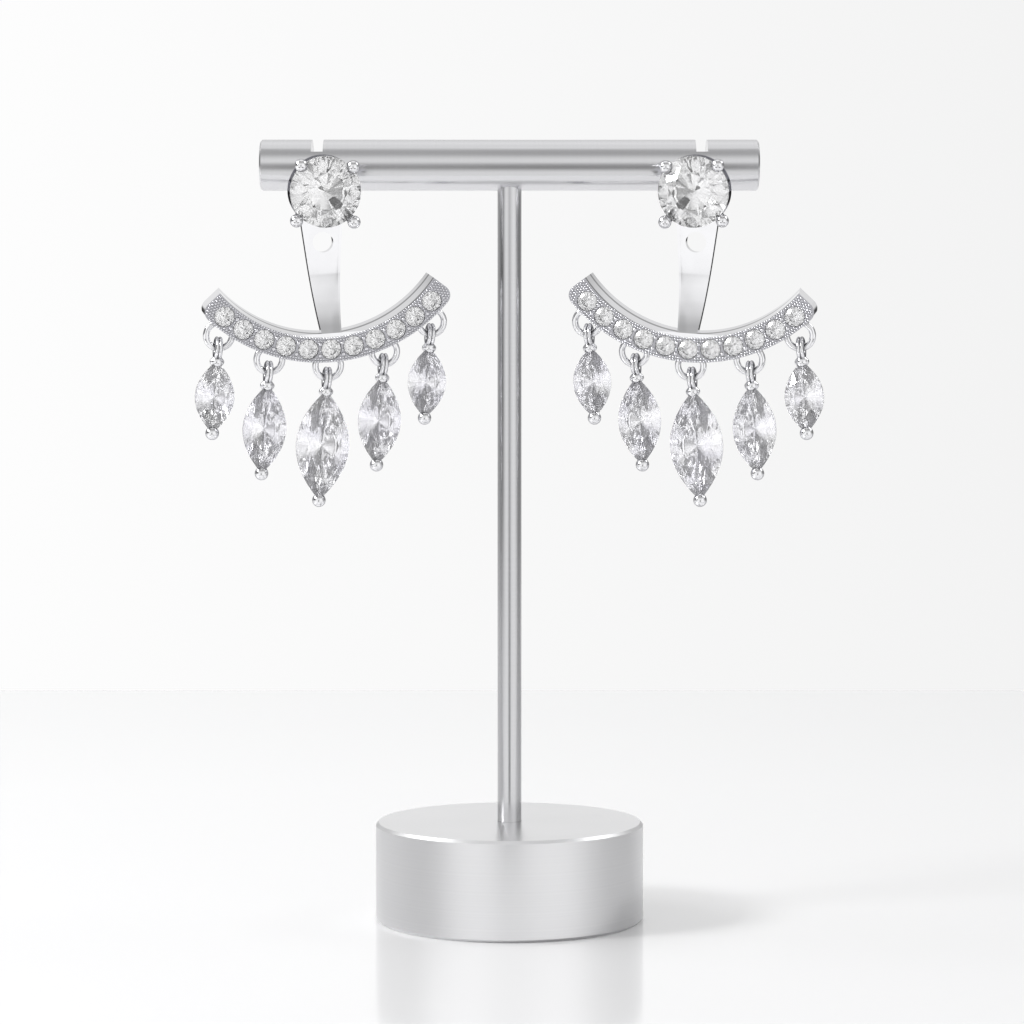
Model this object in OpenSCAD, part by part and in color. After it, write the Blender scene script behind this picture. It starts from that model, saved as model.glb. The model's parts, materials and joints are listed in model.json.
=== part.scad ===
// A pair of ear jackets, each a stud with a fringe of five marquise drops, on a T-bar display stand.
// Millimetres, +Z up, the front towards -Y. The origin is the centre of the stand's underside.
// The left earring is modelled, and the right one is its mirror image.

/* [Stand] */
// Height from the surface to the top of the crossbar
stand_height = 70; // [62:1:90]
// Diameter of the foot
base_d = 24; // [20:1:32]
// Thickness of the foot
base_h = 8.7; // [7:0.1:12]
// Diameter of the stem
stem_d = 2.15; // [1.8:0.05:2.6]
// Length of the crossbar
bar_length = 44.7; // [43:0.1:60]
// Diameter of the crossbar
bar_d = 4.6; // [4.4:0.1:5.4]
// Distance between the two notches in the crossbar
notch_spacing = 34.4; // [30:0.1:36]
// Width of a notch
notch_w = 1.05; // [0.8:0.05:1.5]
// Depth of a notch
notch_depth = 1.3; // [0.8:0.05:1.5]

/* [Stud] */
// Diameter of the round stone in the stud
stud_stone_d = 6.3; // [5.8:0.1:6.6]
// Diameter of the post
post_d = 0.8; // [0.7:0.05:0.9]
// Length of the post behind the head
post_length = 10; // [9:0.5:12]
// Height of the post above the middle of the head
post_rise = 0.4; // [0:0.1:0.6]
// Diameter of the balls at the ends of the four prongs
prong_ball_d = 1.15; // [0.8:0.05:1.2]

/* [Jacket] */
// Thickness of the blade that hangs behind the stud
blade_t = 0.8; // [0.6:0.05:0.9]
// Width of the blade where the post passes through it
blade_top_w = 4.3; // [3.6:0.1:4.6]
// Width of the blade where it meets the curved bar
blade_foot_w = 1.85; // [1.4:0.05:2.4]
// Diameter of the two holes in the blade
blade_hole_d = 1.86; // [1.6:0.02:2]
// Distance from the top hole to the spare hole
hole_spacing = 4.8; // [4.4:0.1:5.4]
// How far the blade curves forward down to the curved bar
blade_forward = 1.8; // [1:0.1:2.4]
// Radius of the inner edge of the curved bar
arc_r = 12.05; // [11.5:0.05:13]
// Angle from the middle of the curved bar to either end
arc_half_angle = 50.3; // [46:0.1:52]
// How far the middle of the curved bar lies outward of the blade's
arc_shift = 0.3; // [0:0.05:0.6]
// Depth of the curved bar from front to back
arc_depth = 2.3; // [2:0.1:2.8]
// Height of the front face that carries the stones
arc_face = 2.3; // [2.2:0.05:2.8]
// How far the polished upper edge slopes down towards the front
arc_slope = 0.45; // [0:0.05:0.6]

/* [Small stones] */
// Number of round stones along the curved bar
pave_count = 11; // [7:2:11]
// Diameter of each of them
pave_stone_d = 1.75; // [1.4:0.05:1.8]
// Angle between neighbouring stones
pave_step = 8.55; // [8.3:0.05:8.8]

/* [Drops] */
// Length of the middle marquise stone
middle_length = 9.8; // [9:0.1:10.5]
// Width of the middle marquise stone
middle_width = 4.8; // [4:0.1:5]
// Length of the marquise stones beside the middle one
second_length = 7.9; // [7:0.1:8.4]
// Width of the marquise stones beside the middle one
second_width = 3.9; // [3.4:0.1:4]
// Length of the marquise stones at the ends
outer_length = 6.4; // [6:0.1:7.2]
// Width of the marquise stones at the ends
outer_width = 3.5; // [3:0.1:3.7]
// Outer diameter of the rings below the curved bar
ring_d = 2.85; // [2.6:0.05:3]
// Thickness of their wire
ring_wire = 0.55; // [0.45:0.05:0.55]

/* [Placing] */
// Angle by which each earring turns towards the middle of the stand
toe_in = 14; // [10:1:18]
// Angle by which each post slopes down to the front
droop = 11.5; // [8:0.5:12]
// Angle by which each jacket hangs lower at its outer end
hang_tilt = 5; // [0:0.1:6]
// Angle by which each drop leans outward at its lower end
drop_lean = 3.8; // [0:0.1:7]
// Distance of each post from the middle of the stand, at the bar's axis
post_x = 17.7; // [17.4:0.1:18.4]
// Distance of each post below the bar's axis, at that place
post_drop = 1.25; // [1:0.05:1.3]

/* [Hidden] */
SIDES = ["left", "right"];
METAL_PIECES = ["stud_setting", "clutch", "jacket_frame"];
DROPS = [1:5];
PAVE = [1:pave_count];

$fn = 64;

// Gaps between pieces that are pressed, set or linked together
fit_gap = 0.03;
stone_gap = 0.05;
link_gap = 0.1;
// Added past a face so that a cut goes clean through it
over = 1;

// Stand
bar_z = stand_height - bar_d / 2;
base_chamfer = 0.25;
bar_chamfer = 0.15;
stem_socket_base = 4;
stem_socket_bar = 2;

// Proportions of a brilliant cut, as parts of the stone's width or of its outline
table_part = 0.56;
star_part = 0.78;
crown_part = 0.15;
girdle_part = 0.03;
pavilion_part = 0.41;
lower_part = 0.25;
pointed_power = 2;

// Distances in front of the bar's axis, along the post
blade_back = 3;
blade_front = blade_back + blade_t;
blade_play = 0.2;
head_back = blade_front + blade_play;
// The girdle lies this much further forward than the pavilion is deep
head_clearance = 0.25;
head_girdle = head_back + pavilion_part * stud_stone_d + head_clearance;
arc_back = blade_back + blade_forward;
arc_front = arc_back + arc_depth;
arc_middle = arc_back + arc_depth / 2;

// Head of the stud
stud_r = stud_stone_d / 2;
head_plate_t = 0.5;
head_plate_r = 2.3;
prong_r = 0.38;
prong_ball_r = prong_ball_d / 2;
prong_tip_r = stud_r + 0.1;
// The two lower prongs spread wider at their tips
prong_spread = 0.35;
prong_tip_forward = head_girdle + 0.45;
gallery_wall = 0.4;
gallery_front = head_girdle - 0.2;
gallery_back = head_girdle - 1.4;

// Clutch, behind the bar
clutch_start = 3.1;
clutch_plate_t = 0.5;
clutch_length = 1.9;
clutch_plate_r = 1.9;
clutch_barrel_r = 1.15;

// Blade and curved bar, with heights measured from the post
hole_r = blade_hole_d / 2;
top_hole_z = -(hole_r - post_d / 2 - link_gap);
spare_hole_z = top_hole_z - hole_spacing;
arc_x = -arc_shift;
arc_z = -0.7;
blade_bend_z = -6.6;
blade_foot_z = arc_z - arc_r;
bend_drop = blade_bend_z - blade_foot_z;
bend_r = (pow(bend_drop, 2) + pow(blade_forward, 2)) / (2 * blade_forward);
blade_sink = 1;
slope_angle = atan(arc_slope / arc_depth);
arc_outer_r = arc_r + arc_slope + arc_face;
corner_r = 0.95;
corner_angle = asin(corner_r / (arc_outer_r - corner_r));

// Small stones
pave_r = pave_stone_d / 2;
pave_arc_r = arc_r + arc_slope + arc_face / 2;
pave_sink = 0.08;
seat_r = pave_r + stone_gap;
seat_depth = pave_sink + girdle_part * pave_stone_d + stone_gap;
seat_cone = pavilion_part * pave_stone_d + stone_gap;
seat_tip_r = 0.1;

// Rings and drops
drop_lengths = [outer_length, second_length, middle_length, second_length, outer_length];
drop_widths = [outer_width, second_width, middle_width, second_width, outer_width];
ring_angles = [-39.4, -20.6, -0.6, 19, 37.8];
ring_wire_r = ring_wire / 2;
ring_r = ring_d / 2 - ring_wire_r;
ring_arc_r = arc_outer_r + 0.5;
// Each bail is a double band with a groove between its two halves
bail_half = 0.33;
bail_band_r = 0.2;
bail_band_off = 0.15;
bail_r = 0.72;
bail_z = -(bail_r - bail_half - link_gap - ring_wire_r);
cap_z = bail_z - 1.18;
tip_z = cap_z + 0.1;
cap_r = 0.56;
side_ball_r = 0.34;
side_ball_x = 0.3;
foot_bead_r = 0.6;
slot_half = 0.4;
rail_r = 0.22;
rail_knob_r = 0.27;
rail_off = rail_r + 0.12;

function turn_x(p, a) = [p.x, p.y * cos(a) - p.z * sin(a), p.y * sin(a) + p.z * cos(a)];
function turn_y(p, a) = [p.x * cos(a) + p.z * sin(a), p.y, p.z * cos(a) - p.x * sin(a)];
function turn_z(p, a) = [p.x * cos(a) - p.y * sin(a), p.x * sin(a) + p.y * cos(a), p.z];

// Where a point of the hanging jacket lies in the stand's frame
function hung(p) = post_point() + turn_z(turn_x(turn_y(p, -hang_tilt), droop), toe_in);
function post_point() = [-post_x, 0, bar_z - post_drop];

// A point on an arc about the middle of the curved bar, at an angle from its lowest point
function on_arc(r, a) = [arc_x + r * sin(a), arc_z - r * cos(a)];

// Outline of a stone at an angle round it: an oval with two points, or a circle
function pointed(a, w, l) = [
    sign(cos(a)) * w / 2 * (1 - pow(abs(sin(a)), pointed_power)),
    l / 2 * sin(a)
];
function rounded(a, w) = [w / 2 * cos(a), w / 2 * sin(a)];
function outline(a, w, l) = l > w ? pointed(a, w, l) : rounded(a, w);
function lifted(p, z) = [p.x, p.y, z];

// Height on the main crown and pavilion facets, halfway between two of them
function facet_fall(part, inner) = (1 - part * cos(22.5)) / (1 - inner);

// Extrudes a shape drawn in X and Z from one distance in front of the bar's axis to another
module forward(from, to) {
    translate([0, -from, 0])
        rotate([90, 0, 0])
            linear_extrude(to - from)
                children();
}

// A round rod between two points
module rod(p, q, r) {
    d = q - p;
    translate(p)
        rotate([0, acos(d.z / norm(d)), atan2(d.y, d.x)])
            cylinder(r = r, h = norm(d));
}

// A ring of round wire about the Z axis
module wire_ring(r, wire_r) {
    rotate_extrude($fn = 48)
        translate([r, 0])
            circle(r = wire_r, $fn = 24);
}

// A brilliant-cut stone, its table up and its girdle about the plane Z = 0
module cut_stone(w, l, per_facet = 2) {
    crown = crown_part * w;
    girdle = girdle_part * w / 2;
    pavilion = pavilion_part * w;
    table_z = girdle + crown;
    star_z = girdle + crown * facet_fall(star_part, table_part);
    lower_z = -girdle - pavilion * (1 - lower_part * cos(22.5));
    // The girdle has some sides to each of the eight main facets
    sides = 8 * per_facet;
    points = concat(
        [for (i = [0:7]) lifted(table_part * outline(45 * i, w, l), table_z)],
        [for (i = [0:7]) lifted(star_part * outline(45 * i + 22.5, w, l), star_z)],
        [for (i = [0:7]) lifted(lower_part * outline(45 * i + 22.5, w, l), lower_z)],
        [[0, 0, -girdle - pavilion]],
        [for (i = [0:sides - 1]) lifted(outline(360 / sides * i, w, l), girdle)],
        [for (i = [0:sides - 1]) lifted(outline(360 / sides * i, w, l), -girdle)]
    );
    star = 8;
    lower = 16;
    culet = 24;
    upper = 25;
    under = upper + sides;
    faces = concat(
        [[for (i = [7:-1:0]) i]],
        [for (i = [0:7]) [i, (i + 1) % 8, star + i]],
        [for (i = [0:7]) [i, star + i, upper + per_facet * i]],
        [for (i = [0:7]) [i, upper + per_facet * i, star + (i + 7) % 8]],
        [for (i = [0:7], k = [0:per_facet - 1])
            [star + i, upper + (per_facet * i + k + 1) % sides, upper + per_facet * i + k]],
        [for (i = [0:sides - 1]) [upper + i, upper + (i + 1) % sides, under + (i + 1) % sides, under + i]],
        [for (i = [0:7], k = [0:per_facet - 1])
            [lower + i, under + per_facet * i + k, under + (per_facet * i + k + 1) % sides]],
        [for (i = [0:7]) [lower + i, culet, under + per_facet * i]],
        [for (i = [0:7]) [culet, lower + i, under + (per_facet * i + per_facet) % sides]]
    );
    polyhedron(points, faces, convexity = 4);
}

// Space for a round stone, with the gap round it
module round_stone_space(w, gap) {
    r = w / 2 + gap;
    rim = girdle_part * w / 2 + gap;
    rotate_extrude()
        polygon([
            [0, -rim - pavilion_part * w],
            [r, -rim],
            [r, rim],
            [table_part * r, rim + crown_part * w],
            [0, rim + crown_part * w]
        ]);
}

// The frame of the left earring: its origin on the post at the bar's axis, -Y along the post to the head
module on_post() {
    translate(post_point())
        rotate([droop, 0, toe_in])
            children();
}

// The hanging jacket, turned about the post
module on_jacket() {
    on_post()
        rotate([0, -hang_tilt, 0])
            children();
}

// The frame of one drop: its origin in the middle of the ring's wire where the bail hangs on it
module on_drop(i) {
    a = drop_lean + hang_tilt;
    centre = on_arc(ring_arc_r, ring_angles[i - 1]);
    translate(hung([centre[0] - ring_r * sin(a), -arc_middle, centre[1] - ring_r * cos(a)]))
        rotate([0, drop_lean, toe_in])
            children();
}

module mirrored(side) {
    if (side == "left") children();
    else mirror([1, 0, 0]) children();
}

module stand_base() {
    color("#c9cacc")
        difference() {
            union() {
                translate([0, 0, base_chamfer])
                    cylinder(d = base_d, h = base_h - 2 * base_chamfer, $fn = 128);
                cylinder(d1 = base_d - 2 * base_chamfer, d2 = base_d, h = base_chamfer, $fn = 128);
                translate([0, 0, base_h - base_chamfer])
                    cylinder(d1 = base_d, d2 = base_d - 2 * base_chamfer, h = base_chamfer, $fn = 128);
            }
            translate([0, 0, base_h - stem_socket_base - fit_gap])
                cylinder(r = stem_d / 2 + fit_gap, h = stem_socket_base + over);
        }
}

module stand_stem() {
    color("#b9babd")
        translate([0, 0, base_h - stem_socket_base])
            cylinder(d = stem_d, h = bar_z - bar_d / 2 + stem_socket_bar - base_h + stem_socket_base);
}

module stand_bar() {
    color("#c3c4c6")
        difference() {
            translate([-bar_length / 2, 0, bar_z])
                rotate([0, 90, 0]) {
                    translate([0, 0, bar_chamfer])
                        cylinder(d = bar_d, h = bar_length - 2 * bar_chamfer, $fn = 96);
                    cylinder(d1 = bar_d - 2 * bar_chamfer, d2 = bar_d, h = bar_chamfer, $fn = 96);
                    translate([0, 0, bar_length - bar_chamfer])
                        cylinder(d1 = bar_d, d2 = bar_d - 2 * bar_chamfer, h = bar_chamfer, $fn = 96);
                }
            translate([0, 0, bar_z - bar_d / 2 - over])
                cylinder(r = stem_d / 2 + fit_gap, h = over + stem_socket_bar + fit_gap);
            for (side = SIDES)
                mirrored(side) {
                    translate([-notch_spacing / 2 - notch_w / 2, -bar_d, bar_z + bar_d / 2 - notch_depth])
                        cube([notch_w, 2 * bar_d, notch_depth + over]);
                    on_post()
                        rotate([90, 0, 0])
                            cylinder(r = post_d / 2 + link_gap, h = 3 * bar_d, center = true);
                }
        }
}

module stud_setting() {
    color("#d8d9dc")
        on_post()
            difference() {
                union() {
                    translate([0, post_length - head_back, 0])
                        rotate([90, 0, 0])
                            cylinder(d = post_d, h = post_length);
                    translate([0, 0, -post_rise]) {
                        forward(head_back, head_back + head_plate_t)
                            circle(r = head_plate_r);
                        forward(gallery_back, gallery_front)
                            difference() {
                                circle(r = stud_r);
                                circle(r = stud_r - gallery_wall);
                            }
                        for (a = [45:90:315])
                            prong(a);
                    }
                }
                translate([0, -head_girdle, -post_rise])
                    rotate([90, 0, 0])
                        round_stone_space(stud_stone_d, stone_gap);
            }
}

// One prong of the stud, from the plate to the ball over the stone's edge
module prong(a) {
    foot_r = head_plate_r - prong_r;
    foot = [foot_r * cos(a), -head_back - head_plate_t / 2, foot_r * sin(a)];
    tip_r = prong_tip_r + (sin(a) < 0 ? prong_spread : 0);
    tip = [tip_r * cos(a), -prong_tip_forward, tip_r * sin(a)];
    rod(foot, tip, prong_r);
    translate(tip)
        rotate([0, -a, 0])
            sphere(r = prong_ball_r, $fn = 32);
}

module stud_stone() {
    color("#e8ecf2")
        on_post()
            translate([0, -head_girdle, -post_rise])
                rotate([90, 0, 0])
                    cut_stone(stud_stone_d, stud_stone_d, 4);
}

module clutch() {
    color("#d8d9dc")
        on_post()
            translate([0, clutch_start + clutch_length, 0])
                rotate([90, 0, 0])
                    difference() {
                        union() {
                            cylinder(r = clutch_barrel_r, h = clutch_length);
                            translate([0, 0, clutch_length - clutch_plate_t])
                                cylinder(r = clutch_plate_r, h = clutch_plate_t);
                        }
                        translate([0, 0, -over])
                            cylinder(r = post_d / 2 + fit_gap, h = clutch_length + 2 * over);
                    }
}

module jacket_frame() {
    color("#d5d6d9")
        on_jacket() {
            difference() {
                union() {
                    blade();
                    curved_bar();
                }
                for (i = PAVE)
                    pave_seat(i);
            }
            for (a = ring_angles)
                drop_ring(a);
        }
}

// The blade: flat round its two holes, then curved forward into the back of the curved bar
module blade() {
    difference() {
        intersection() {
            forward(0, arc_front)
                blade_outline();
            translate([-blade_top_w, 0, 0])
                rotate([90, 0, 90])
                    linear_extrude(2 * blade_top_w)
                        blade_side();
        }
        for (z = [top_hole_z, spare_hole_z])
            forward(0, arc_front)
                translate([0, z])
                    circle(r = hole_r);
    }
}

module blade_outline() {
    end_z = blade_foot_z - blade_sink;
    fall = (blade_top_w - blade_foot_w) / (top_hole_z - blade_foot_z);
    end_w = blade_foot_w - fall * blade_sink;
    translate([0, top_hole_z])
        circle(d = blade_top_w);
    polygon([
        [-blade_top_w / 2, top_hole_z],
        [-end_w / 2, end_z],
        [end_w / 2, end_z],
        [blade_top_w / 2, top_hole_z]
    ]);
}

// Side view of the blade, Y to the right
module blade_side() {
    translate([-blade_front, blade_bend_z])
        square([blade_t, blade_top_w - blade_bend_z]);
    intersection() {
        translate([-blade_back - bend_r, blade_bend_z])
            difference() {
                circle(r = bend_r, $fn = 128);
                circle(r = bend_r - blade_t, $fn = 128);
            }
        translate([-blade_back - bend_r, blade_foot_z - blade_sink])
            square([bend_r, bend_drop + blade_sink]);
    }
}

module curved_bar() {
    difference() {
        forward(arc_back, arc_front)
            translate([arc_x, arc_z])
                bar_face();
        translate([arc_x, -arc_back, arc_z])
            rotate([90 + slope_angle, 0, 0])
                cylinder(r = arc_r, h = 4 * arc_depth, center = true, $fn = 128);
    }
}

// Front of the curved bar about its centre, down to well inside the inner edge
module bar_face() {
    rounding = arc_outer_r - corner_r;
    corner_at = arc_half_angle - corner_angle;
    difference() {
        union() {
            intersection() {
                circle(r = arc_outer_r, $fn = 128);
                wedge(corner_at);
            }
            intersection() {
                circle(r = rounding, $fn = 128);
                wedge(arc_half_angle);
            }
            for (a = [-corner_at, corner_at])
                translate([rounding * sin(a), -rounding * cos(a)])
                    circle(r = corner_r);
        }
        circle(r = arc_r - over, $fn = 128);
    }
}

module wedge(half) {
    reach = 3 * arc_outer_r;
    polygon([
        [0, 0],
        [-reach * sin(half), -reach * cos(half)],
        [reach * sin(half), -reach * cos(half)]
    ]);
}

function pave_place(i) = on_arc(pave_arc_r, (i - (pave_count + 1) / 2) * pave_step);

module pave_seat(i) {
    p = pave_place(i);
    translate([p[0], -arc_front, p[1]])
        rotate([-90, 0, 0]) {
            translate([0, 0, -over])
                cylinder(r = seat_r, h = over + seat_depth, $fn = 32);
            translate([0, 0, seat_depth])
                cylinder(r1 = seat_r, r2 = seat_tip_r, h = seat_cone, $fn = 32);
        }
}

module drop_ring(a) {
    p = on_arc(ring_arc_r, a);
    translate([p[0], -arc_middle, p[1]])
        rotate([90, 0, 0])
            wire_ring(ring_r, ring_wire_r);
}

module pave_stone(i) {
    p = pave_place(i);
    color("#e8ecf2")
        on_jacket()
            translate([p[0], -arc_front + pave_sink + girdle_part * pave_stone_d / 2, p[1]])
                rotate([90, 0, 0])
                    cut_stone(pave_stone_d, pave_stone_d);
}

// Bail, three-ball cap, rails behind the stone and the bead under its lower point
module drop_setting(i) {
    w = drop_widths[i - 1];
    l = drop_lengths[i - 1];
    foot_z = tip_z - l;
    girdle_z = tip_z - l / 2;
    keel_y = pavilion_part * w + girdle_part * w / 2;
    color("#d8d9dc")
        on_drop(i)
            difference() {
                union() {
                    translate([0, 0, bail_z])
                        rotate([0, 90, 0])
                            bail();
                    translate([0, 0, cap_z])
                        sphere(r = cap_r, $fn = 32);
                    for (x = [-side_ball_x, side_ball_x])
                        translate([x, 0, cap_z])
                            sphere(r = side_ball_r, $fn = 24);
                    rod([0, rail_off, tip_z], [0, keel_y + rail_off, girdle_z], rail_r);
                    rod([0, rail_off, foot_z], [0, keel_y + rail_off, girdle_z], rail_r);
                    translate([0, keel_y + rail_off, girdle_z])
                        sphere(r = rail_knob_r, $fn = 24);
                    translate([0, 0, foot_z])
                        sphere(r = foot_bead_r, $fn = 32);
                }
                stone_slot(w, l, girdle_z);
            }
}

module bail() {
    rotate_extrude($fn = 48)
        for (off = [-bail_band_off, bail_band_off])
            translate([bail_r, off])
                scale([bail_half / bail_band_r, 1])
                    circle(r = bail_band_r, $fn = 24);
}

// Slot for the two points of a marquise stone, a little larger than its outline
module stone_slot(w, l, middle_z) {
    forward(-slot_half, slot_half)
        translate([0, middle_z])
            polygon([
                for (a = [0:22.5:337.5])
                    pointed(a, w + 2 * stone_gap, l + 2 * stone_gap)
            ]);
}

module drop_stone(i) {
    w = drop_widths[i - 1];
    l = drop_lengths[i - 1];
    color("#e8ecf2")
        on_drop(i)
            translate([0, 0, tip_z - l / 2])
                rotate([90, 0, 0])
                    cut_stone(w, l, 4);
}

stand_base();
stand_stem();
stand_bar();
for (side = SIDES) {
    mirrored(side) stud_setting();
    mirrored(side) stud_stone();
    mirrored(side) clutch();
    mirrored(side) jacket_frame();
    for (i = PAVE)
        mirrored(side) pave_stone(i);
    for (i = DROPS) {
        mirrored(side) drop_setting(i);
        mirrored(side) drop_stone(i);
    }
}
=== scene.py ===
import json
import math

import bmesh
import bpy
from mathutils import Matrix, Vector


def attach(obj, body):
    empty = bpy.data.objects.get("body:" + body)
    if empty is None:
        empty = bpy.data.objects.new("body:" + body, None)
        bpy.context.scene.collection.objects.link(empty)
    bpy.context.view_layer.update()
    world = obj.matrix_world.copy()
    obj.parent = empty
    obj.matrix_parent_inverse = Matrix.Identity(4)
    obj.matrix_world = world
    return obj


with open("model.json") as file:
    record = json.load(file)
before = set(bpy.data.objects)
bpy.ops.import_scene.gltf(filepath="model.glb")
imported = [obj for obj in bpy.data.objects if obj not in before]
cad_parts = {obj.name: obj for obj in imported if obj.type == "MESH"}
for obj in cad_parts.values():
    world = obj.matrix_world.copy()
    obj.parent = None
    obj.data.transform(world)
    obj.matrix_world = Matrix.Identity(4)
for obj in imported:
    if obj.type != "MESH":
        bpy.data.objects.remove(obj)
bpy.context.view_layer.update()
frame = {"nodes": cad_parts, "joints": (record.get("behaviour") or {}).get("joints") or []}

mm = 0.001


def hexColour(text):
    # sRGB hex to the linear colour that the shaders take
    parts = [int(text[i:i + 2], 16) / 255 for i in (1, 3, 5)]
    linear = [c / 12.92 if c <= 0.04045 else ((c + 0.055) / 1.055) ** 2.4 for c in parts]
    return (*linear, 1.0)


def grey(value):
    return (value, value, value, 1.0)


def addNode(tree, kind, settings=None, links=None):
    # settings are the node's own fields; links are its inputs, as sockets to join or plain values
    node = tree.nodes.new(kind)
    for name, value in (settings or {}).items():
        setattr(node, name, value)
    for name, value in (links or {}).items():
        if isinstance(value, bpy.types.NodeSocket):
            tree.links.new(value, node.inputs[name])
        else:
            node.inputs[name].default_value = value
    return node


def fillRamp(node, stops):
    # stops are (position, colour) pairs, left to right
    ramp = node.color_ramp
    while len(ramp.elements) > 1:
        ramp.elements.remove(ramp.elements[-1])
    ramp.elements[0].position = stops[0][0]
    ramp.elements[0].color = stops[0][1]
    for position, colour in stops[1:]:
        ramp.elements.new(position).color = colour


def shades(colour, spread, tones):
    # two stops of one colour, times the two tones, over the part of a noise where its values lie
    base = Vector(hexColour(colour)[:3])
    return [(at, (*(base * tone), 1.0)) for at, tone in zip(spread, tones)]


def newMaterial(name):
    material = bpy.data.materials.new(name)
    material.use_nodes = True
    material.node_tree.nodes.clear()
    return material, material.node_tree


def closeMaterial(tree, shader):
    addNode(tree, "ShaderNodeOutputMaterial", links={"Surface": shader.outputs[0]})


# Turned stainless steel: satin, with lathe lines round the foot and along the rods
steel = {
    "foot": "#e6e6e7",
    "stem": "#d4d4d6",
    "bar": "#e0e0e2",
    "footRoughness": (0.28, 0.32),
    "rodRoughness": (0.16, 0.21),
    "lineSpacing": 0.09,  # real lathe lines are nearer 0.03 mm; drawn as coarse as one pixel
    "lineTone": (0.985, 1.005),
    "cloudSize": 9,       # mm between places that the finishing pad left a little rougher
    "spread": (0.3, 0.7),  # where most of a noise's values lie
}


def turnedSteel(name, colour, roughness, axis):
    # axis is the one that the piece was turned about; the lines run round it
    material, tree = newMaterial(name)
    place = addNode(tree, "ShaderNodeTexCoord")
    split = addNode(tree, "ShaderNodeSeparateXYZ", links={"Vector": place.outputs["Object"]})
    across = split.outputs["X"]
    if axis == "Z":
        flat = addNode(tree, "ShaderNodeCombineXYZ", links={0: split.outputs["X"], 1: split.outputs["Y"]})
        radius = addNode(tree, "ShaderNodeVectorMath", {"operation": "LENGTH"}, {0: flat.outputs[0]})
        across = addNode(tree, "ShaderNodeMath", {"operation": "ADD"}, {
            0: radius.outputs["Value"], 1: split.outputs["Z"]}).outputs[0]
    lines = addNode(tree, "ShaderNodeTexNoise", {"noise_dimensions": "1D"}, {
        "W": across, "Scale": 1 / (2 * steel["lineSpacing"] * mm), "Detail": 1.0})
    cloud = addNode(tree, "ShaderNodeTexNoise", links={
        "Vector": place.outputs["Object"], "Scale": 1 / (steel["cloudSize"] * mm), "Detail": 3.0})
    low, high = steel["spread"]
    rough = addNode(tree, "ShaderNodeMapRange", links={
        "Value": cloud.outputs["Fac"], "From Min": low, "From Max": high,
        "To Min": roughness[0], "To Max": roughness[1]})
    tone = addNode(tree, "ShaderNodeValToRGB", links={"Fac": lines.outputs["Fac"]})
    fillRamp(tone, shades(colour, steel["spread"], steel["lineTone"]))
    shader = addNode(tree, "ShaderNodeBsdfPrincipled", links={
        "Base Color": tone.outputs["Color"], "Metallic": 1.0, "Roughness": rough.outputs[0]})
    closeMaterial(tree, shader)
    return material


# Rhodium-plated silver: a cold white mirror, with the slightest haze and waviness from polishing
silver = {
    "colour": "#f1f1f3",
    "grains": "#ececf0",
    "ground": "#bababf",   # the cut metal between the grains, darkened as painted shade for the grains' shadow
    "haze": (0.03, 0.09),
    "grainHaze": (0.08, 0.16),
    "groundHaze": (0.28, 0.38),
    "wave": 0.004,         # height of the buffed waviness in mm
    "waveSize": 1.6,       # its length in mm
    "waveStrength": 0.5,
    "waveTone": (0.97, 1.0),
    "waveSpread": (0.35, 0.65),
    "scratchSize": 0.25,   # real polishing scratches are nearer 0.02 mm; drawn as coarse as three pixels
    "scratchSpread": (0.35, 0.7),
    "hollowRadius": 17.0,  # the blades' fronts are dished across by hand polishing, in mm
    "hollowHalf": 1.9,     # and no further out than this from a blade's middle
    "grazing": "#808086",  # the small parts' edge tint: the plating reflects less at a grazing angle
    "paintedShade": 0.45,        # painted shade: the small parts' colour darkens where they lie this near one another, in mm
    # how open a place is, and the painted shade that this gives its colour
    "paintedShadeTone": ((0.15, 0.2), (0.5, 0.55), (0.85, 1.0)),
    # painted shade of grooves along the curved bar's upper edge, as dark lines in its colour: depth behind
    # its face, in mm, and tone
    "paintedGrooveShade": ((0.0, 0.25), (0.22, 0.3), (0.3, 1.0), (1.3, 1.0), (1.4, 0.4), (1.6, 0.4), (1.7, 1.0)),
    "paintedGrooveReach": 2.5,
}


def jointOf(side):
    return next(j for j in frame["joints"] if j["child"] == side + "_jacket")


def hollowAcross(tree, place, side):
    # height over a blade's width, in m: the square of the distance from its middle
    joint = jointOf(side)
    across = Vector(joint["axis"]).cross(Vector((0, 0, 1))).normalized()
    start = addNode(tree, "ShaderNodeVectorMath", {"operation": "SUBTRACT"}, {
        0: place.outputs["Object"], 1: Vector(joint["pos_m"])})
    out = addNode(tree, "ShaderNodeVectorMath", {"operation": "DOT_PRODUCT"}, {
        0: start.outputs[0], 1: across})
    far = addNode(tree, "ShaderNodeMath", {"operation": "ABSOLUTE"}, {0: out.outputs["Value"]})
    near = addNode(tree, "ShaderNodeMath", {"operation": "MINIMUM"}, {
        0: far.outputs[0], 1: silver["hollowHalf"] * mm})
    square = addNode(tree, "ShaderNodeMath", {"operation": "MULTIPLY"}, {
        0: near.outputs[0], 1: near.outputs[0]})
    return addNode(tree, "ShaderNodeMath", {"operation": "DIVIDE"}, {
        0: square.outputs[0], 1: 2 * silver["hollowRadius"] * mm})


def behindFace(tree, place, arc):
    # depth behind the curved bar's face, as a part of the reach of the painted groove shade
    start = addNode(tree, "ShaderNodeVectorMath", {"operation": "SUBTRACT"}, {
        0: place.outputs["Object"], 1: arc["hub"]})
    depth = addNode(tree, "ShaderNodeVectorMath", {"operation": "DOT_PRODUCT"}, {
        0: start.outputs[0], 1: -arc["front"]})
    return addNode(tree, "ShaderNodeMath", {"operation": "DIVIDE"}, {
        0: depth.outputs["Value"], 1: silver["paintedGrooveReach"] * mm})


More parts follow.
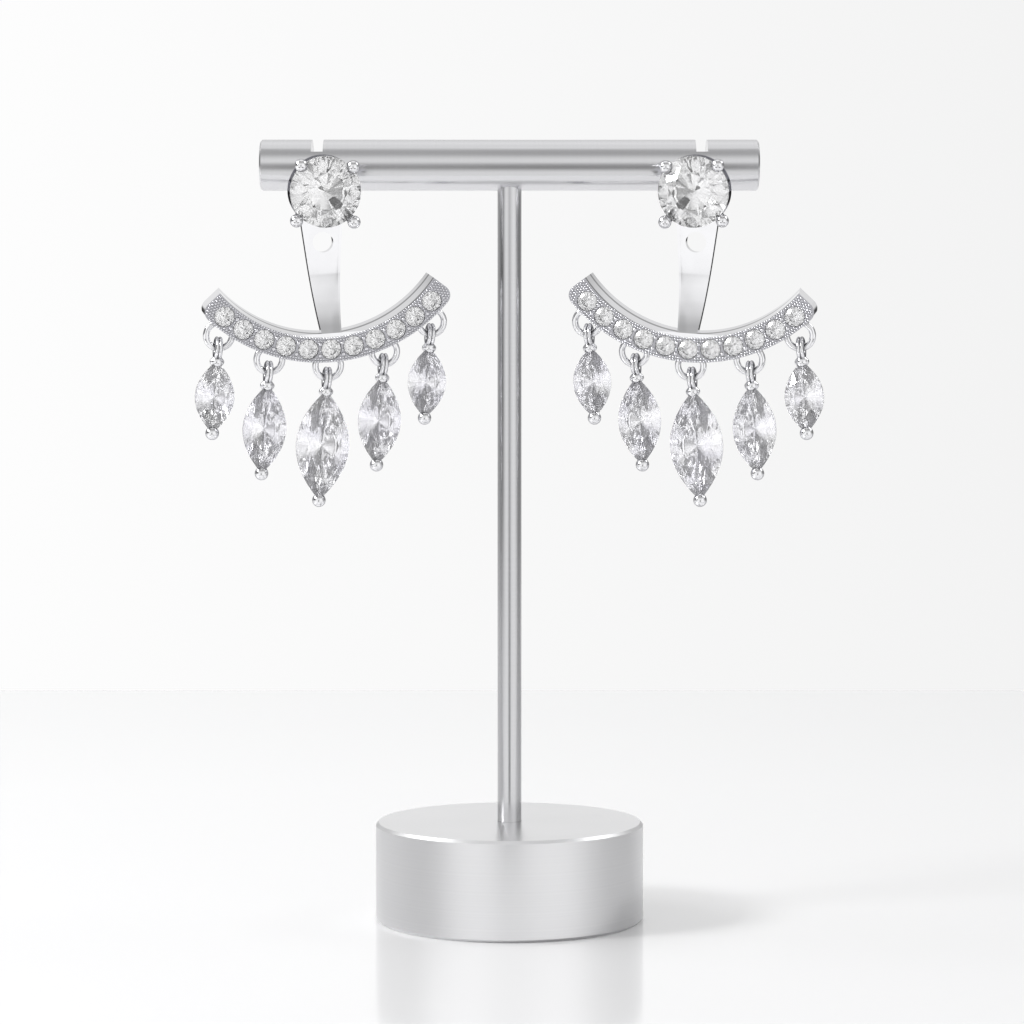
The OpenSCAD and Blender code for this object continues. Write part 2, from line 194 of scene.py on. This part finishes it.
def multiplied(tree, colour, factor, stops):
    # a colour times a grey that follows the stops
    ramp = addNode(tree, "ShaderNodeValToRGB", links={"Fac": factor})
    fillRamp(ramp, [(at, grey(value)) for at, value in stops])
    mix = addNode(tree, "ShaderNodeMix", {"data_type": "RGBA", "blend_type": "MULTIPLY"}, {
        "Factor": 1.0, 6: colour, 7: ramp.outputs["Color"]})
    return mix.outputs[2]


def polishedSilver(name, haze, side="", colour=silver["colour"], small=False, arc=None):
    material, tree = newMaterial(name)
    place = addNode(tree, "ShaderNodeTexCoord")
    wave = addNode(tree, "ShaderNodeTexNoise", links={
        "Vector": place.outputs["Object"], "Scale": 1 / (silver["waveSize"] * mm), "Detail": 1.5})
    scratch = addNode(tree, "ShaderNodeTexNoise", links={
        "Vector": place.outputs["Object"], "Scale": 1 / (silver["scratchSize"] * mm),
        "Detail": 4.0, "Roughness": 0.7})
    low, high = silver["scratchSpread"]
    rough = addNode(tree, "ShaderNodeMapRange", links={
        "Value": scratch.outputs["Fac"], "From Min": low, "From Max": high,
        "To Min": haze[0], "To Max": haze[1]})
    tone = addNode(tree, "ShaderNodeValToRGB", links={"Fac": wave.outputs["Fac"]})
    fillRamp(tone, shades(colour, silver["waveSpread"], silver["waveTone"]))
    bump = addNode(tree, "ShaderNodeBump", links={
        "Height": wave.outputs["Fac"], "Strength": silver["waveStrength"], "Distance": silver["wave"] * mm})
    if side:
        hollow = hollowAcross(tree, place, side)
        bump = addNode(tree, "ShaderNodeBump", links={
            "Height": hollow.outputs[0], "Strength": 1.0, "Distance": 1.0, "Normal": bump.outputs[0]})
    shown = tone.outputs["Color"]
    # painted shade: the small parts' colour darkens in recesses and where other parts lie near
    if small:
        paintedShade = addNode(tree, "ShaderNodeAmbientOcclusion", {"samples": 8}, {
            "Distance": silver["paintedShade"] * mm})
        shown = multiplied(tree, shown, paintedShade.outputs["AO"], silver["paintedShadeTone"])
    # painted shade: dark lines in the upper edge's colour where grooves would shade it
    if arc:
        paintedGrooveShade = [(depth / silver["paintedGrooveReach"], value) for depth, value in silver["paintedGrooveShade"]]
        shown = multiplied(tree, shown, behindFace(tree, place, arc).outputs[0], paintedGrooveShade)
    shader = addNode(tree, "ShaderNodeBsdfPrincipled", links={
        "Base Color": shown, "Metallic": 1.0, "Roughness": rough.outputs[0], "Normal": bump.outputs[0]})
    if small:
        shader.inputs["Specular Tint"].default_value = hexColour(silver["grazing"])
    closeMaterial(tree, shader)
    return material


# Cut cubic zirconia: sharp facets and strong inner reflections, colourless or with a breath of lilac
zirconia = {
    "marquise": ("#ffffff", "#f8f7ff"),  # the drops are the ones with the lilac
    "round": ("#f2f2f2", "#eeeeef"),
    "cloudSize": 2.5,  # mm over which the tint comes and goes
    "cloudSpread": (0.35, 0.7),
    "index": 2.05,
    "milk": 0.025,    # share of light scattered at each facet, which keeps the stones light inside
    "through": 0.05,  # share that goes straight on
}


def cutZirconia(name, tints):
    material, tree = newMaterial(name)
    place = addNode(tree, "ShaderNodeTexCoord")
    cloud = addNode(tree, "ShaderNodeTexNoise", links={
        "Vector": place.outputs["Object"], "Scale": 1 / (zirconia["cloudSize"] * mm), "Detail": 1.0})
    tone = addNode(tree, "ShaderNodeValToRGB", links={"Fac": cloud.outputs["Fac"]})
    fillRamp(tone, list(zip(zirconia["cloudSpread"], (hexColour(tint) for tint in tints))))
    shader = addNode(tree, "ShaderNodeBsdfPrincipled", links={
        "Base Color": tone.outputs["Color"], "Transmission Weight": 1.0, "Roughness": 0.0,
        "IOR": zirconia["index"]})
    for kind, share in (("ShaderNodeBsdfTranslucent", "milk"), ("ShaderNodeBsdfTransparent", "through")):
        other = addNode(tree, kind, links={"Color": tone.outputs["Color"]})
        shader = addNode(tree, "ShaderNodeMixShader", links={
            0: zirconia[share], 1: shader.outputs[0], 2: other.outputs[0]})
    closeMaterial(tree, shader)
    return material


footSteel = turnedSteel("satin turned steel", steel["foot"], steel["footRoughness"], "Z")
stemSteel = turnedSteel("drawn steel rod upright", steel["stem"], steel["rodRoughness"], "Z")
barSteel = turnedSteel("drawn steel rod across", steel["bar"], steel["rodRoughness"], "X")
# the wire, beads and grains carry painted shade where parts lie near one another
smallSilver = polishedSilver("rhodium-plated silver wire and beads", silver["haze"], small=True)
# cut with a bright graver: each grain is a tiny hazy mirror, and the ground between them is rougher, with a
# dark grey tone that is painted shade
grainSilver = polishedSilver(
    "bright-cut silver grains", silver["grainHaze"], colour=silver["grains"], small=True)
groundSilver = polishedSilver("bright-cut silver ground", silver["groundHaze"], colour=silver["ground"])
jacketSilver = {side: polishedSilver(f"rhodium-plated silver, {side} jacket", silver["haze"], side)
                for side in ("left", "right")}
marquiseStone = cutZirconia("cubic zirconia, marquise cut", zirconia["marquise"])
roundStone = cutZirconia("cubic zirconia, round cut", zirconia["round"])


def finishOf(name):
    if name == "stand_base":
        return footSteel
    if name == "stand_stem":
        return stemSteel
    if name == "stand_bar":
        return barSteel
    if "drop_stone" in name:
        return marquiseStone
    if "_stone" in name:
        return roundStone
    if "jacket_frame" in name:
        return jacketSilver[name.split("_")[0]]
    return smallSilver


for name, node in frame["nodes"].items():
    node.data.materials.clear()
    node.data.materials.append(finishOf(name))
print("finishes on", len(frame["nodes"]), "nodes")

# Bright-cut grains on the face of the curved bar, in mm and degrees about the arc's centre
grains = {
    "faceHalf": 1.15,       # half the height of the face
    "tableAbove": 0.183,    # how far a small stone's table stands in front of the face
    "endAngle": 50.3,
    "cornerRadius": 0.95,   # of the two rounded lower corners of the face
    "stones": 11,
    "stoneRadius": 0.875,
    "clawOut": 0.5,         # claw grains, out from the stones' line
    "clawRadius": 0.2,
    "clawClear": 0.26,      # no plain grain is nearer than this to the middle of a claw
    "radius": 0.115,
    "pitch": 0.25,
    "rowPitch": 0.87,       # rows lie this much closer than the grains in a row
    "stoneClear": 0.6,      # how much of a grain's radius stays clear of a stone
    "edgeIn": 0.12,
    "sunk": 0.02,
}

# Which of the jacket's faces get a finish of their own
faces = {
    "flat": 0.99,   # least cosine to the front for the ground under the grains
    "inner": -0.9,  # most cosine to the way out for the curved bar's upper edge
    "slack": 0.1,   # mm
}


def stoneCentre(node):
    points = [v.co for v in node.data.vertices]
    low = Vector([min(p[i] for p in points) for i in range(3)])
    high = Vector([max(p[i] for p in points) for i in range(3)])
    return (low + high) / 2


def circleThrough(a, b, c):
    # centre of the circle through three points in space
    u, v = b - a, c - a
    w = u.cross(v)
    return a + (v.length_squared * w.cross(u) + u.length_squared * v.cross(w)) / (2 * w.length_squared)


def arcOf(side):
    # the curved bar: its hub, the ways down to its middle stone, along it and to the front,
    # the radius of its line of stones in mm, and the angle from stone to stone in degrees
    front = -Vector(jointOf(side)["axis"]).normalized()
    if front.y > 0:
        front.negate()
    stones = [frame["nodes"][f"{side}_pave_stone_{i}"] for i in range(1, grains["stones"] + 1)]
    middle = grains["stones"] // 2
    centres = []
    for node in stones:
        table = max(v.co.dot(front) for v in node.data.vertices)
        centre = stoneCentre(node)
        centres.append(centre + front * (table - grains["tableAbove"] * mm - centre.dot(front)))
    hub = circleThrough(centres[0], centres[middle], centres[-1])
    down = (centres[middle] - hub).normalized()
    along = front.cross(down)
    if along.dot(centres[-1] - centres[0]) < 0:
        along.negate()
    line = (centres[middle] - hub).length / mm
    step = math.degrees((centres[middle] - hub).angle(centres[middle + 1] - hub))
    return {"hub": hub, "down": down, "along": along, "front": front, "line": line, "step": step}


def finishJacket(side):
    # the rings' wire, the ground under the grains and the curved bar's upper edge get finishes of their own;
    # the ground's and the upper edge's carry painted shade
    arc = arcOf(side)
    mesh = frame["nodes"][side + "_jacket_frame"].data
    edgeSilver = polishedSilver(f"rhodium-plated silver, {side} upper edge", silver["haze"], arc=arc)
    for material in (smallSilver, groundSilver, edgeSilver):
        mesh.materials.append(material)
    counts = [0, 0, 0, 0]
    for polygon in mesh.polygons:
        away = polygon.center - arc["hub"]
        out = away - arc["front"] * away.dot(arc["front"])
        fromLine = out.length / mm - arc["line"]
        if fromLine > grains["faceHalf"]:
            polygon.material_index = 1
        elif (fromLine > -grains["faceHalf"] - faces["slack"]
              and polygon.normal.dot(arc["front"]) > faces["flat"]):
            polygon.material_index = 2
        elif fromLine < 0 and polygon.normal.dot(out.normalized()) < faces["inner"]:
            polygon.material_index = 3
        counts[polygon.material_index] += 1
    print(side, "jacket faces: plain, rings, ground, upper edge", counts)


def placeGrains(side):
    arc = arcOf(side)
    hub, down, along, front, line, step = (arc[k] for k in ("hub", "down", "along", "front", "line", "step"))
    rim = line + grains["faceHalf"] - grains["edgeIn"]
    height = 2 * (grains["faceHalf"] - grains["edgeIn"])
    rows = round(height / (grains["pitch"] * grains["rowPitch"]))
    outermost = grains["stones"] // 2
    spots = []

    def put(radius, angle, size):
        turn = math.radians(angle)
        spots.append((hub + (down * math.cos(turn) + along * math.sin(turn)) * radius * mm
                      - front * grains["sunk"] * mm, size * mm))

    def fromStone(radius, angle):
        # distance from the middle of the nearest stone
        place = max(-outermost, min(outermost, round(angle / step))) * step
        turn = math.radians(angle - place)
        return math.sqrt(radius ** 2 + line ** 2 - 2 * radius * line * math.cos(turn))

    corner = line + grains["faceHalf"] - grains["cornerRadius"]
    cornerAngle = grains["endAngle"] - math.degrees(math.asin(grains["cornerRadius"] / corner))

    def insideCorner(radius, angle):
        if radius < corner or abs(angle) < cornerAngle:
            return True
        turn = math.radians(abs(angle) - cornerAngle)
        away = math.sqrt(radius ** 2 + corner ** 2 - 2 * radius * corner * math.cos(turn))
        return away < grains["cornerRadius"] - grains["edgeIn"]

    claws = [(line + edge * grains["clawOut"], (gap + 0.5) * step)
             for edge in (-1, 1) for gap in range(-outermost, outermost)]
    for radius, angle in claws:
        put(radius, angle, grains["clawRadius"])
    for row in range(rows + 1):
        radius = rim - row * height / rows
        half = grains["endAngle"] - math.degrees(grains["edgeIn"] / radius)
        count = round(math.radians(2 * half) * radius / grains["pitch"])
        for i in range(count + 1 - row % 2):
            angle = half * (2 * (i + 0.5 * (row % 2)) / count - 1)
            clear = fromStone(radius, angle) > grains["stoneRadius"] + grains["stoneClear"] * grains["radius"]
            onClaw = any(abs(radius - clawAt) < grains["clawClear"]
                         and abs(math.radians(angle - clawTurn)) * line < grains["clawClear"]
                         for clawAt, clawTurn in claws)
            if clear and not onClaw and insideCorner(radius, angle):
                put(radius, angle, grains["radius"])
    return spots


def makeGrains(side):
    mesh = bpy.data.meshes.new(side + "_grains")
    cast = bmesh.new()
    for spot, size in placeGrains(side):
        bmesh.ops.create_icosphere(cast, subdivisions=2, radius=size, matrix=Matrix.Translation(spot))
    for face in cast.faces:
        face.smooth = True
    cast.to_mesh(mesh)
    cast.free()
    mesh.materials.append(grainSilver)
    piece = bpy.data.objects.new(side + "_grains", mesh)
    bpy.context.scene.collection.objects.link(piece)
    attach(piece, side + "_jacket")
    print(side, "grains:", len(mesh.polygons), "triangles")


for side in ("left", "right"):
    finishJacket(side)
    makeGrains(side)

# Studio: a glossy white table, bright all round, with darker bands that draw the metal's edges
studio = {
    "floorColour": "#e9e9ea",
    "floorRoughness": 0.09,
    "floorBack": 0.209,
    "floorFront": -0.06,
    "floorHalf": 0.6,
    "keyPower": 2.0,       # W
    "keySize": 0.16,
    "keyFrom": (-0.45, -0.17, 0.34),
    "brightness": 1.0,
    "stoneGain": 1.22,           # paths that end early inside a stone lose light, and this gives it back
    "backdrop": (0.985, 0.895),  # what the camera itself sees past the table, from its left to its right
    "backdropHalf": 0.2,         # over this much of the room, as a part of a direction's way to the side
    # brightness up the room's front and back walls, by degrees above the horizon
    "front": ((-90, 0.9), (-34, 0.9), (-24, 1.04), (-18, 1.08), (-10, 1.06), (-3, 1.0), (0, 1.08),
              (7, 1.13), (13, 1.1), (20, 1.05), (26, 0.88), (33, 0.74), (39, 0.62), (46, 0.5), (56, 0.5),
              (66, 0.65), (75, 0.88), (90, 0.85)),
    "back": ((-90, 0.9), (0, 0.94), (10, 0.95), (16, 0.9), (22, 0.83), (30, 0.78), (45, 0.8), (56, 0.88),
             (70, 0.96), (90, 0.85)),
    # brightness round the room near the horizon, by degrees round from the front, right being more
    "sides": ((-180, 1.0), (-168, 1.03), (-156, 0.97), (-148, 0.56), (-128, 0.47), (-110, 0.38),
              (-94, 0.22), (-80, 0.11), (-69, 0.14), (-58, 0.38), (-47, 0.7), (-36, 0.9), (-24, 0.92),
              (-9, 0.78), (0, 0.75), (9, 0.76), (21, 0.85), (31, 0.94), (41, 0.98), (51, 0.94), (62, 0.76),
              (74, 0.49), (88, 0.31), (108, 0.25), (124, 0.29), (140, 0.45), (150, 0.6), (158, 0.92),
              (168, 0.94), (180, 1.0)),
    "sidesFade": (0.3, 0.6),      # how high the sides' pattern starts to fade, and where it has gone
    "sidesBelow": -7.0,           # and how much sooner it does so below the horizon
    "frontFade": (-0.15, 0.15),   # where the back wall turns into the front one
    # dark cards straight in front, low and high: the two dark bands along the crossbar
    "card": ((-36, 0.95), (-27, 0.56), (-20, 0.27), (-12, 0.25), (-7, 0.34), (0, 0.64), (5, 0.88),
             (9, 1.03), (22, 1.06), (30, 0.95), (38, 0.84), (46, 0.9), (56, 0.88), (66, 0.78), (74, 0.85),
             (79, 1.12), (90, 1.05)),
    "cardFade": (8, 12),          # degrees from a card's middle to where it fades and where it ends
    # boxes of light and dark beside the table: middle and half size in degrees, round from the front and up
    "boxes": (
        {"round": (-100, 20), "up": (45, 12), "soft": 3, "value": 4.0},
        {"round": (105, 18), "up": (42, 10), "soft": 3, "value": 3.2},
        {"round": (-126, 9), "up": (54, 12), "soft": 3, "value": 0.05},
        {"round": (130, 9), "up": (54, 12), "soft": 3, "value": 0.05},
        {"round": (75, 8), "up": (46, 12), "soft": 3, "value": 0.05},
        {"round": (-34, 15), "up": (63, 8), "soft": 3, "value": 0.1},
        {"round": (34, 15), "up": (63, 8), "soft": 3, "value": 0.1},
        {"round": (-38, 18), "up": (-36, 8), "soft": 3, "value": 0.1},
        {"round": (38, 18), "up": (-36, 8), "soft": 3, "value": 0.1},
        {"round": (-160, 4.5), "up": (2, 7), "soft": 1.5, "value": 0.06},
        {"round": (160, 4.5), "up": (2, 7), "soft": 1.5, "value": 0.06},
    ),
}


def makeFloor():
    mesh = bpy.data.meshes.new("table")
    half, back, front = studio["floorHalf"], studio["floorBack"], studio["floorFront"]
    corners = [(-half, front, 0), (half, front, 0), (half, back, 0), (-half, back, 0)]
    mesh.from_pydata(corners, [], [(0, 1, 2, 3)])
    floor = bpy.data.objects.new("table", mesh)
    bpy.context.scene.collection.objects.link(floor)
    # cast acrylic, buffed: white, with a soft mirror image of what stands on it
    material, tree = newMaterial("white acrylic table")
    shader = addNode(tree, "ShaderNodeBsdfPrincipled", links={
        "Base Color": hexColour(studio["floorColour"]), "Roughness": studio["floorRoughness"]})
    closeMaterial(tree, shader)
    mesh.materials.append(material)


def addBox(tree, angles, under, box):
    # a soft-edged rectangle of light or dark on the room's walls
    masks = []
    for angle, (middle, half) in zip(angles, (box["round"], box["up"])):
        off = addNode(tree, "ShaderNodeMath", {"operation": "SUBTRACT"}, {0: angle, 1: math.radians(middle)})
        away = addNode(tree, "ShaderNodeMath", {"operation": "ABSOLUTE"}, {0: off.outputs[0]})
        masks.append(addNode(tree, "ShaderNodeMapRange", {"interpolation_type": "SMOOTHSTEP"}, {
            "Value": away.outputs[0], "From Min": math.radians(half - box["soft"]),
            "From Max": math.radians(half + box["soft"]), "To Min": 1.0, "To Max": 0.0}).outputs[0])
    cover = addNode(tree, "ShaderNodeMath", {"operation": "MULTIPLY"}, {0: masks[0], 1: masks[1]})
    mixed = addNode(tree, "ShaderNodeMix", {"data_type": "RGBA"}, {
        "Factor": cover.outputs[0], 6: under, 7: grey(box["value"])})
    return mixed.outputs[2]


def makeRoom():
    # Brightness by direction: height above the horizon, and angle round from the camera's side
    world = bpy.data.worlds.new("studio")
    bpy.context.scene.world = world
    world.use_nodes = True
    tree = world.node_tree
    tree.nodes.clear()
    place = addNode(tree, "ShaderNodeTexCoord")
    split = addNode(tree, "ShaderNodeSeparateXYZ", links={"Vector": place.outputs["Generated"]})
    rise = addNode(tree, "ShaderNodeMath", {"operation": "ARCSINE"}, {0: split.outputs["Z"]}).outputs[0]
    height = addNode(tree, "ShaderNodeMath", {"operation": "MULTIPLY_ADD"}, {
        0: rise, 1: 1 / math.pi, 2: 0.5}).outputs[0]
    toFront = addNode(tree, "ShaderNodeMath", {"operation": "MULTIPLY"}, {
        0: split.outputs["Y"], 1: -1.0}).outputs[0]
    turn = addNode(tree, "ShaderNodeMath", {"operation": "ARCTAN2"}, {
        0: split.outputs["X"], 1: toFront}).outputs[0]
    bearing = addNode(tree, "ShaderNodeMath", {"operation": "MULTIPLY_ADD"}, {
        0: turn, 1: 0.5 / math.pi, 2: 0.5}).outputs[0]
    # the sides' pattern ends soon below the horizon and higher up above it
    below = addNode(tree, "ShaderNodeMath", {"operation": "MULTIPLY"}, {
        0: split.outputs["Z"], 1: studio["sidesBelow"]})
    level = addNode(tree, "ShaderNodeMath", {"operation": "MAXIMUM"}, {
        0: split.outputs["Z"], 1: below.outputs[0]}).outputs[0]
    offFront = addNode(tree, "ShaderNodeMath", {"operation": "ABSOLUTE"}, {0: turn}).outputs[0]

    tones = {}
    for name, measure, most in (("front", height, 90), ("back", height, 90), ("sides", bearing, 180),
                                ("card", height, 90)):
        ramp = addNode(tree, "ShaderNodeValToRGB", links={"Fac": measure})
        fillRamp(ramp, [((angle + most) / (2 * most), grey(value)) for angle, value in studio[name]])
        tones[name] = ramp.outputs["Color"]
    cardFade = [math.radians(angle) for angle in studio["cardFade"]]
    fades = {}
    for name, measure, (start, end), (first, last) in (
            ("front", toFront, studio["frontFade"], (0.0, 1.0)),
            ("sides", level, studio["sidesFade"], (1.0, 0.0)),
            ("card", offFront, cardFade, (1.0, 0.0))):
        fades[name] = addNode(tree, "ShaderNodeMapRange", {"interpolation_type": "SMOOTHSTEP"}, {
            "Value": measure, "From Min": start, "From Max": end,
            "To Min": first, "To Max": last}).outputs[0]

    walls = addNode(tree, "ShaderNodeMix", {"data_type": "RGBA"}, {
        "Factor": fades["front"], 6: tones["back"], 7: tones["front"]})
    shaded = addNode(tree, "ShaderNodeMix", {"data_type": "RGBA", "blend_type": "MULTIPLY"}, {
        "Factor": fades["sides"], 6: walls.outputs[2], 7: tones["sides"]})
    carded = addNode(tree, "ShaderNodeMix", {"data_type": "RGBA", "blend_type": "MULTIPLY"}, {
        "Factor": fades["card"], 6: shaded.outputs[2], 7: tones["card"]})
    colour = carded.outputs[2]
    for box in studio["boxes"]:
        colour = addBox(tree, (turn, rise), colour, box)
    # the camera looks past the studio's cards and boxes at a plain pale wall, from every side
    left, right = studio["backdrop"]
    half = studio["backdropHalf"]
    wall = addNode(tree, "ShaderNodeMapRange", links={
        "Value": split.outputs["X"], "From Min": -half, "From Max": half, "To Min": left, "To Max": right})
    path = addNode(tree, "ShaderNodeLightPath")
    shown = addNode(tree, "ShaderNodeMix", {"data_type": "RGBA"}, {
        "Factor": path.outputs["Is Camera Ray"], 6: colour, 7: wall.outputs[0]})
    strength = addNode(tree, "ShaderNodeMapRange", links={
        "Value": path.outputs["Is Transmission Ray"], "To Min": studio["brightness"],
        "To Max": studio["brightness"] * studio["stoneGain"]})
    light = addNode(tree, "ShaderNodeBackground", links={
        "Color": shown.outputs[2], "Strength": strength.outputs[0]})
    addNode(tree, "ShaderNodeOutputWorld", links={"Surface": light.outputs[0]})


def makeKeyLight():
    lamp = bpy.data.lights.new("key", "AREA")
    lamp.shape = "DISK"
    lamp.size = studio["keySize"]
    lamp.energy = studio["keyPower"]
    key = bpy.data.objects.new("key", lamp)
    key.location = studio["keyFrom"]
    key.rotation_euler = (-Vector(studio["keyFrom"])).to_track_quat("-Z", "Y").to_euler()
    bpy.context.scene.collection.objects.link(key)


makeFloor()
makeRoom()
makeKeyLight()
bpy.context.scene.view_settings.view_transform = "Standard"
print("studio lit")

# The photograph's view: level, from far in front, with the horizon above the middle of the picture
camera = {
    "place": (0.225 * mm, -234 * mm, 43.33 * mm),
    "focal": 2600,    # in pixels of a picture 1024 wide
    "horizon": 436,   # row of the horizon
    "picture": 1024,
    "sensor": 36,     # mm
    "nearest": 0.01,  # m, the nearest that the camera sees
}


def makeCamera():
    lens = bpy.data.cameras.new("camera")
    lens.sensor_width = camera["sensor"]
    lens.lens = camera["focal"] / camera["picture"] * lens.sensor_width
    lens.shift_y = (camera["horizon"] - camera["picture"] / 2) / camera["picture"]
    lens.clip_start = camera["nearest"]
    eye = bpy.data.objects.new("camera", lens)
    eye.location = camera["place"]
    eye.rotation_euler = (math.radians(90), 0, 0)
    bpy.context.scene.collection.objects.link(eye)
    bpy.context.scene.camera = eye


makeCamera()
print("camera placed")
